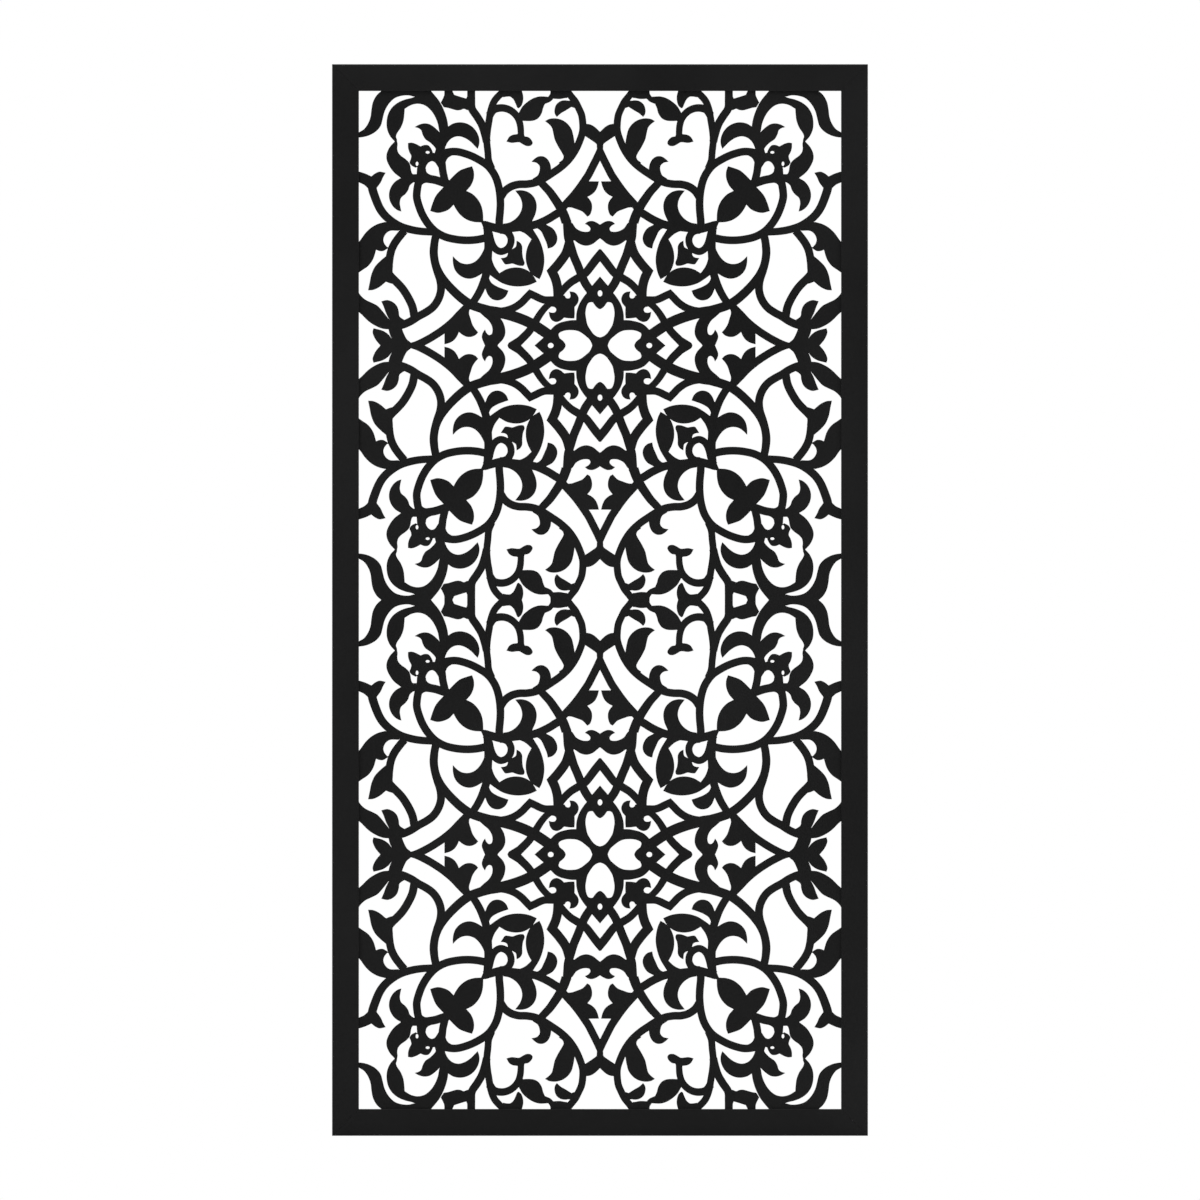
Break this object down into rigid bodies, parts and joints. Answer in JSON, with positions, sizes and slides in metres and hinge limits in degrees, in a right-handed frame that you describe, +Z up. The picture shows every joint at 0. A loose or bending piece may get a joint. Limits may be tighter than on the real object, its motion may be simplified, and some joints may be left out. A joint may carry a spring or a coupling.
{
  "type": "laser cut metal screen",
  "caption": "Tall rectangular laser cut metal screen panel: black sheet cut in arabesque scrolls and leaves, held by beads in a plain mitred frame.",
  "frame": {"origin": "centre of the bottom edge of the frame, half way through its depth", "axes": "+Z up the panel's height, +X across its width, -Y towards the front, which has the thin lip"},
  "size_m": [0.6, 0.025, 1.2],
  "materials": {
    "coated_steel": "matt black powder coat",
    "corner_key": "mill finish",
    "screw": "black"
  },
  "bodies": {
    "root": {"laser_cut_sheet": "coated_steel", "frame_bottom": "coated_steel", "bead_bottom": "coated_steel", "frame_right": "coated_steel", "bead_right": "coated_steel", "frame_top": "coated_steel", "bead_top": "coated_steel", "frame_left": "coated_steel", "bead_left": "coated_steel", "screw_bottom_1": "screw", "screw_bottom_2": "screw", "screw_right_1": "screw", "screw_right_2": "screw", "screw_right_3": "screw", "screw_top_1": "screw", "screw_top_2": "screw", "screw_left_1": "screw", "screw_left_2": "screw", "screw_left_3": "screw", "corner_key_bottom_left": "corner_key", "corner_key_bottom_right": "corner_key", "corner_key_top_right": "corner_key", "corner_key_top_left": "corner_key"}
  },
  "joints": []
}
